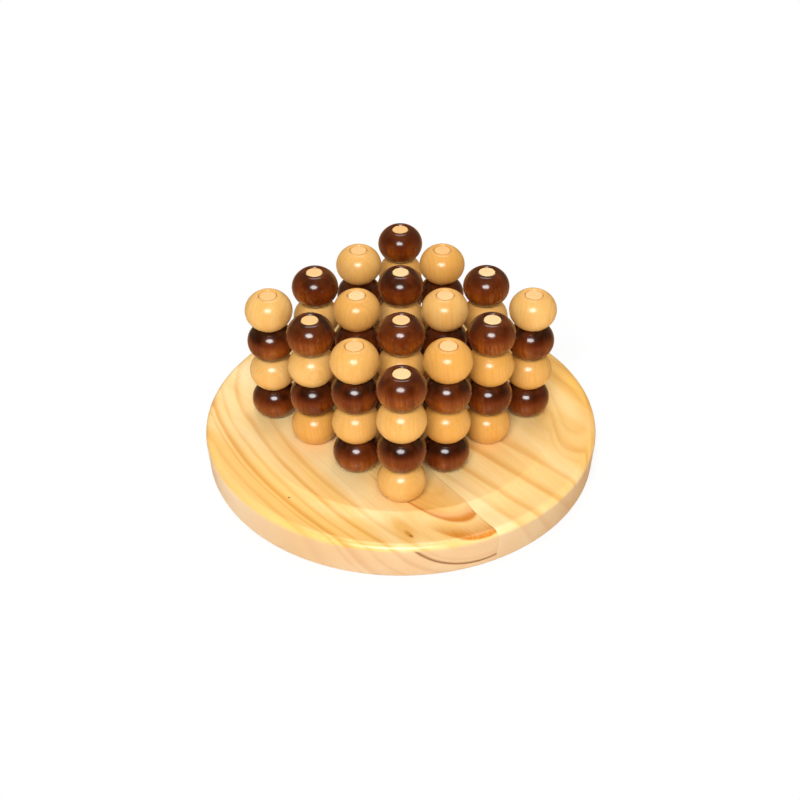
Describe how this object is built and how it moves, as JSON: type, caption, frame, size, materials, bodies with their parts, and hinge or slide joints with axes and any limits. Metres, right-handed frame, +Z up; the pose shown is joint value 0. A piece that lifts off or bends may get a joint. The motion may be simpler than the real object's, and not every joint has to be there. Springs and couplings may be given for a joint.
{
  "type": "three-dimensional tic-tac-toe game",
  "caption": "Turned round wooden base with a square grid of upright rods, on which bored light and dark beads are stacked and lifted off to play tic-tac-toe in three dimensions.",
  "frame": {"origin": "middle of the base's underside", "axes": "+Z up along the rods; rows of rods run along X and columns along Y; the picture looks from the +X -Y corner"},
  "size_m": [0.2186, 0.2186, 0.099],
  "materials": {
    "base_wood": "clear gloss lacquer on pine",
    "light_bead": "clear gloss lacquer",
    "dark_bead": "dark reddish-brown stain under gloss lacquer"
  },
  "bodies": {
    "base": {"base_with_rods": "base_wood"},
    "bead_r1_c1_l1": {"dark_bead_r1_c1_l1": "dark_bead"},
    "bead_r1_c1_l2": {"light_bead_r1_c1_l2": "light_bead"},
    "bead_r1_c1_l3": {"dark_bead_r1_c1_l3": "dark_bead"},
    "bead_r1_c1_l4": {"light_bead_r1_c1_l4": "light_bead"},
    "bead_r1_c2_l1": {"light_bead_r1_c2_l1": "light_bead"},
    "bead_r1_c2_l2": {"dark_bead_r1_c2_l2": "dark_bead"},
    "bead_r1_c2_l3": {"light_bead_r1_c2_l3": "light_bead"},
    "bead_r1_c2_l4": {"dark_bead_r1_c2_l4": "dark_bead"},
    "bead_r1_c3_l1": {"dark_bead_r1_c3_l1": "dark_bead"},
    "bead_r1_c3_l2": {"light_bead_r1_c3_l2": "light_bead"},
    "bead_r1_c3_l3": {"dark_bead_r1_c3_l3": "dark_bead"},
    "bead_r1_c3_l4": {"light_bead_r1_c3_l4": "light_bead"},
    "bead_r1_c4_l1": {"light_bead_r1_c4_l1": "light_bead"},
    "bead_r1_c4_l2": {"dark_bead_r1_c4_l2": "dark_bead"},
    "bead_r1_c4_l3": {"light_bead_r1_c4_l3": "light_bead"},
    "bead_r1_c4_l4": {"dark_bead_r1_c4_l4": "dark_bead"},
    "bead_r2_c1_l1": {"light_bead_r2_c1_l1": "light_bead"},
    "bead_r2_c1_l2": {"dark_bead_r2_c1_l2": "dark_bead"},
    "bead_r2_c1_l3": {"light_bead_r2_c1_l3": "light_bead"},
    "bead_r2_c1_l4": {"dark_bead_r2_c1_l4": "dark_bead"},
    "beads_r2_c2_l1_l2": {"bead_pair_r2_c2_l1_l2": "light_bead"},
    "bead_r2_c2_l3": {"dark_bead_r2_c2_l3": "dark_bead"},
    "bead_r2_c2_l4": {"light_bead_r2_c2_l4": "light_bead"},
    "beads_r2_c3_l1_l2": {"bead_pair_r2_c3_l1_l2": "light_bead"},
    "bead_r2_c3_l3": {"light_bead_r2_c3_l3": "light_bead"},
    "bead_r2_c3_l4": {"dark_bead_r2_c3_l4": "dark_bead"},
    "bead_r2_c4_l1": {"dark_bead_r2_c4_l1": "dark_bead"},
    "bead_r2_c4_l2": {"light_bead_r2_c4_l2": "light_bead"},
    "bead_r2_c4_l3": {"dark_bead_r2_c4_l3": "dark_bead"},
    "bead_r2_c4_l4": {"light_bead_r2_c4_l4": "light_bead"},
    "bead_r3_c1_l1": {"dark_bead_r3_c1_l1": "dark_bead"},
    "bead_r3_c1_l2": {"light_bead_r3_c1_l2": "light_bead"},
    "bead_r3_c1_l3": {"dark_bead_r3_c1_l3": "dark_bead"},
    "bead_r3_c1_l4": {"light_bead_r3_c1_l4": "light_bead"},
    "beads_r3_c2_l1_l2": {"bead_pair_r3_c2_l1_l2": "light_bead"},
    "bead_r3_c2_l3": {"light_bead_r3_c2_l3": "light_bead"},
    "bead_r3_c2_l4": {"dark_bead_r3_c2_l4": "dark_bead"},
    "beads_r3_c3_l1_l2": {"bead_pair_r3_c3_l1_l2": "light_bead"},
    "bead_r3_c3_l3": {"dark_bead_r3_c3_l3": "dark_bead"},
    "bead_r3_c3_l4": {"light_bead_r3_c3_l4": "light_bead"},
    "bead_r3_c4_l1": {"light_bead_r3_c4_l1": "light_bead"},
    "bead_r3_c4_l2": {"dark_bead_r3_c4_l2": "dark_bead"},
    "bead_r3_c4_l3": {"light_bead_r3_c4_l3": "light_bead"},
    "bead_r3_c4_l4": {"dark_bead_r3_c4_l4": "dark_bead"},
    "beads_r4_c1_l1_l2": {"bead_pair_r4_c1_l1_l2": "light_bead"},
    "bead_r4_c1_l3": {"light_bead_r4_c1_l3": "light_bead"},
    "bead_r4_c1_l4": {"dark_bead_r4_c1_l4": "dark_bead"},
    "bead_r4_c2_l1": {"dark_bead_r4_c2_l1": "dark_bead"},
    "bead_r4_c2_l2": {"light_bead_r4_c2_l2": "light_bead"},
    "bead_r4_c2_l3": {"dark_bead_r4_c2_l3": "dark_bead"},
    "bead_r4_c2_l4": {"light_bead_r4_c2_l4": "light_bead"},
    "bead_r4_c3_l1": {"light_bead_r4_c3_l1": "light_bead"},
    "bead_r4_c3_l2": {"dark_bead_r4_c3_l2": "dark_bead"},
    "bead_r4_c3_l3": {"light_bead_r4_c3_l3": "light_bead"},
    "bead_r4_c3_l4": {"dark_bead_r4_c3_l4": "dark_bead"},
    "bead_r4_c4_l1": {"dark_bead_r4_c4_l1": "dark_bead"},
    "bead_r4_c4_l2": {"light_bead_r4_c4_l2": "light_bead"},
    "bead_r4_c4_l3": {"dark_bead_r4_c4_l3": "dark_bead"},
    "bead_r4_c4_l4": {"light_bead_r4_c4_l4": "light_bead"}
  },
  "joints": [
    {"name": "lift_r1_c1_l1", "type": "slide", "parent": "base", "child": "bead_r1_c1_l1", "axis": [0, 0, 1], "range_m": [0, 0.0798]},
    {"name": "lift_r1_c1_l2", "type": "slide", "parent": "bead_r1_c1_l1", "child": "bead_r1_c1_l2", "axis": [0, 0, 1], "range_m": [0, 0.0606]},
    {"name": "lift_r1_c1_l3", "type": "slide", "parent": "bead_r1_c1_l2", "child": "bead_r1_c1_l3", "axis": [0, 0, 1], "range_m": [0, 0.0414]},
    {"name": "lift_r1_c1_l4", "type": "slide", "parent": "bead_r1_c1_l3", "child": "bead_r1_c1_l4", "axis": [0, 0, 1], "range_m": [0, 0.0222]},
    {"name": "lift_r1_c2_l1", "type": "slide", "parent": "base", "child": "bead_r1_c2_l1", "axis": [0, 0, 1], "range_m": [0, 0.0798]},
    {"name": "lift_r1_c2_l2", "type": "slide", "parent": "bead_r1_c2_l1", "child": "bead_r1_c2_l2", "axis": [0, 0, 1], "range_m": [0, 0.0606]},
    {"name": "lift_r1_c2_l3", "type": "slide", "parent": "bead_r1_c2_l2", "child": "bead_r1_c2_l3", "axis": [0, 0, 1], "range_m": [0, 0.0414]},
    {"name": "lift_r1_c2_l4", "type": "slide", "parent": "bead_r1_c2_l3", "child": "bead_r1_c2_l4", "axis": [0, 0, 1], "range_m": [0, 0.0222]},
    {"name": "lift_r1_c3_l1", "type": "slide", "parent": "base", "child": "bead_r1_c3_l1", "axis": [0, 0, 1], "range_m": [0, 0.0798]},
    {"name": "lift_r1_c3_l2", "type": "slide", "parent": "bead_r1_c3_l1", "child": "bead_r1_c3_l2", "axis": [0, 0, 1], "range_m": [0, 0.0606]},
    {"name": "lift_r1_c3_l3", "type": "slide", "parent": "bead_r1_c3_l2", "child": "bead_r1_c3_l3", "axis": [0, 0, 1], "range_m": [0, 0.0414]},
    {"name": "lift_r1_c3_l4", "type": "slide", "parent": "bead_r1_c3_l3", "child": "bead_r1_c3_l4", "axis": [0, 0, 1], "range_m": [0, 0.0222]},
    {"name": "lift_r1_c4_l1", "type": "slide", "parent": "base", "child": "bead_r1_c4_l1", "axis": [0, 0, 1], "range_m": [0, 0.0798]},
    {"name": "lift_r1_c4_l2", "type": "slide", "parent": "bead_r1_c4_l1", "child": "bead_r1_c4_l2", "axis": [0, 0, 1], "range_m": [0, 0.0606]},
    {"name": "lift_r1_c4_l3", "type": "slide", "parent": "bead_r1_c4_l2", "child": "bead_r1_c4_l3", "axis": [0, 0, 1], "range_m": [0, 0.0414]},
    {"name": "lift_r1_c4_l4", "type": "slide", "parent": "bead_r1_c4_l3", "child": "bead_r1_c4_l4", "axis": [0, 0, 1], "range_m": [0, 0.0222]},
    {"name": "lift_r2_c1_l1", "type": "slide", "parent": "base", "child": "bead_r2_c1_l1", "axis": [0, 0, 1], "range_m": [0, 0.0798]},
    {"name": "lift_r2_c1_l2", "type": "slide", "parent": "bead_r2_c1_l1", "child": "bead_r2_c1_l2", "axis": [0, 0, 1], "range_m": [0, 0.0606]},
    {"name": "lift_r2_c1_l3", "type": "slide", "parent": "bead_r2_c1_l2", "child": "bead_r2_c1_l3", "axis": [0, 0, 1], "range_m": [0, 0.0414]},
    {"name": "lift_r2_c1_l4", "type": "slide", "parent": "bead_r2_c1_l3", "child": "bead_r2_c1_l4", "axis": [0, 0, 1], "range_m": [0, 0.0222]},
    {"name": "lift_r2_c2_l1", "type": "slide", "parent": "base", "child": "beads_r2_c2_l1_l2", "axis": [0, 0, 1], "range_m": [0, 0.0798]},
    {"name": "lift_r2_c2_l3", "type": "slide", "parent": "beads_r2_c2_l1_l2", "child": "bead_r2_c2_l3", "axis": [0, 0, 1], "range_m": [0, 0.0414]},
    {"name": "lift_r2_c2_l4", "type": "slide", "parent": "bead_r2_c2_l3", "child": "bead_r2_c2_l4", "axis": [0, 0, 1], "range_m": [0, 0.0222]},
    {"name": "lift_r2_c3_l1", "type": "slide", "parent": "base", "child": "beads_r2_c3_l1_l2", "axis": [0, 0, 1], "range_m": [0, 0.0798]},
    {"name": "lift_r2_c3_l3", "type": "slide", "parent": "beads_r2_c3_l1_l2", "child": "bead_r2_c3_l3", "axis": [0, 0, 1], "range_m": [0, 0.0414]},
    {"name": "lift_r2_c3_l4", "type": "slide", "parent": "bead_r2_c3_l3", "child": "bead_r2_c3_l4", "axis": [0, 0, 1], "range_m": [0, 0.0222]},
    {"name": "lift_r2_c4_l1", "type": "slide", "parent": "base", "child": "bead_r2_c4_l1", "axis": [0, 0, 1], "range_m": [0, 0.0798]},
    {"name": "lift_r2_c4_l2", "type": "slide", "parent": "bead_r2_c4_l1", "child": "bead_r2_c4_l2", "axis": [0, 0, 1], "range_m": [0, 0.0606]},
    {"name": "lift_r2_c4_l3", "type": "slide", "parent": "bead_r2_c4_l2", "child": "bead_r2_c4_l3", "axis": [0, 0, 1], "range_m": [0, 0.0414]},
    {"name": "lift_r2_c4_l4", "type": "slide", "parent": "bead_r2_c4_l3", "child": "bead_r2_c4_l4", "axis": [0, 0, 1], "range_m": [0, 0.0222]},
    {"name": "lift_r3_c1_l1", "type": "slide", "parent": "base", "child": "bead_r3_c1_l1", "axis": [0, 0, 1], "range_m": [0, 0.0798]},
    {"name": "lift_r3_c1_l2", "type": "slide", "parent": "bead_r3_c1_l1", "child": "bead_r3_c1_l2", "axis": [0, 0, 1], "range_m": [0, 0.0606]},
    {"name": "lift_r3_c1_l3", "type": "slide", "parent": "bead_r3_c1_l2", "child": "bead_r3_c1_l3", "axis": [0, 0, 1], "range_m": [0, 0.0414]},
    {"name": "lift_r3_c1_l4", "type": "slide", "parent": "bead_r3_c1_l3", "child": "bead_r3_c1_l4", "axis": [0, 0, 1], "range_m": [0, 0.0222]},
    {"name": "lift_r3_c2_l1", "type": "slide", "parent": "base", "child": "beads_r3_c2_l1_l2", "axis": [0, 0, 1], "range_m": [0, 0.0798]},
    {"name": "lift_r3_c2_l3", "type": "slide", "parent": "beads_r3_c2_l1_l2", "child": "bead_r3_c2_l3", "axis": [0, 0, 1], "range_m": [0, 0.0414]},
    {"name": "lift_r3_c2_l4", "type": "slide", "parent": "bead_r3_c2_l3", "child": "bead_r3_c2_l4", "axis": [0, 0, 1], "range_m": [0, 0.0222]},
    {"name": "lift_r3_c3_l1", "type": "slide", "parent": "base", "child": "beads_r3_c3_l1_l2", "axis": [0, 0, 1], "range_m": [0, 0.0798]},
    {"name": "lift_r3_c3_l3", "type": "slide", "parent": "beads_r3_c3_l1_l2", "child": "bead_r3_c3_l3", "axis": [0, 0, 1], "range_m": [0, 0.0414]},
    {"name": "lift_r3_c3_l4", "type": "slide", "parent": "bead_r3_c3_l3", "child": "bead_r3_c3_l4", "axis": [0, 0, 1], "range_m": [0, 0.0222]},
    {"name": "lift_r3_c4_l1", "type": "slide", "parent": "base", "child": "bead_r3_c4_l1", "axis": [0, 0, 1], "range_m": [0, 0.0798]},
    {"name": "lift_r3_c4_l2", "type": "slide", "parent": "bead_r3_c4_l1", "child": "bead_r3_c4_l2", "axis": [0, 0, 1], "range_m": [0, 0.0606]},
    {"name": "lift_r3_c4_l3", "type": "slide", "parent": "bead_r3_c4_l2", "child": "bead_r3_c4_l3", "axis": [0, 0, 1], "range_m": [0, 0.0414]},
    {"name": "lift_r3_c4_l4", "type": "slide", "parent": "bead_r3_c4_l3", "child": "bead_r3_c4_l4", "axis": [0, 0, 1], "range_m": [0, 0.0222]},
    {"name": "lift_r4_c1_l1", "type": "slide", "parent": "base", "child": "beads_r4_c1_l1_l2", "axis": [0, 0, 1], "range_m": [0, 0.0798]},
    {"name": "lift_r4_c1_l3", "type": "slide", "parent": "beads_r4_c1_l1_l2", "child": "bead_r4_c1_l3", "axis": [0, 0, 1], "range_m": [0, 0.0414]},
    {"name": "lift_r4_c1_l4", "type": "slide", "parent": "bead_r4_c1_l3", "child": "bead_r4_c1_l4", "axis": [0, 0, 1], "range_m": [0, 0.0222]},
    {"name": "lift_r4_c2_l1", "type": "slide", "parent": "base", "child": "bead_r4_c2_l1", "axis": [0, 0, 1], "range_m": [0, 0.0798]},
    {"name": "lift_r4_c2_l2", "type": "slide", "parent": "bead_r4_c2_l1", "child": "bead_r4_c2_l2", "axis": [0, 0, 1], "range_m": [0, 0.0606]},
    {"name": "lift_r4_c2_l3", "type": "slide", "parent": "bead_r4_c2_l2", "child": "bead_r4_c2_l3", "axis": [0, 0, 1], "range_m": [0, 0.0414]},
    {"name": "lift_r4_c2_l4", "type": "slide", "parent": "bead_r4_c2_l3", "child": "bead_r4_c2_l4", "axis": [0, 0, 1], "range_m": [0, 0.0222]},
    {"name": "lift_r4_c3_l1", "type": "slide", "parent": "base", "child": "bead_r4_c3_l1", "axis": [0, 0, 1], "range_m": [0, 0.0798]},
    {"name": "lift_r4_c3_l2", "type": "slide", "parent": "bead_r4_c3_l1", "child": "bead_r4_c3_l2", "axis": [0, 0, 1], "range_m": [0, 0.0606]},
    {"name": "lift_r4_c3_l3", "type": "slide", "parent": "bead_r4_c3_l2", "child": "bead_r4_c3_l3", "axis": [0, 0, 1], "range_m": [0, 0.0414]},
    {"name": "lift_r4_c3_l4", "type": "slide", "parent": "bead_r4_c3_l3", "child": "bead_r4_c3_l4", "axis": [0, 0, 1], "range_m": [0, 0.0222]},
    {"name": "lift_r4_c4_l1", "type": "slide", "parent": "base", "child": "bead_r4_c4_l1", "axis": [0, 0, 1], "range_m": [0, 0.0798]},
    {"name": "lift_r4_c4_l2", "type": "slide", "parent": "bead_r4_c4_l1", "child": "bead_r4_c4_l2", "axis": [0, 0, 1], "range_m": [0, 0.0606]},
    {"name": "lift_r4_c4_l3", "type": "slide", "parent": "bead_r4_c4_l2", "child": "bead_r4_c4_l3", "axis": [0, 0, 1], "range_m": [0, 0.0414]},
    {"name": "lift_r4_c4_l4", "type": "slide", "parent": "bead_r4_c4_l3", "child": "bead_r4_c4_l4", "axis": [0, 0, 1], "range_m": [0, 0.0222]}
  ]
}
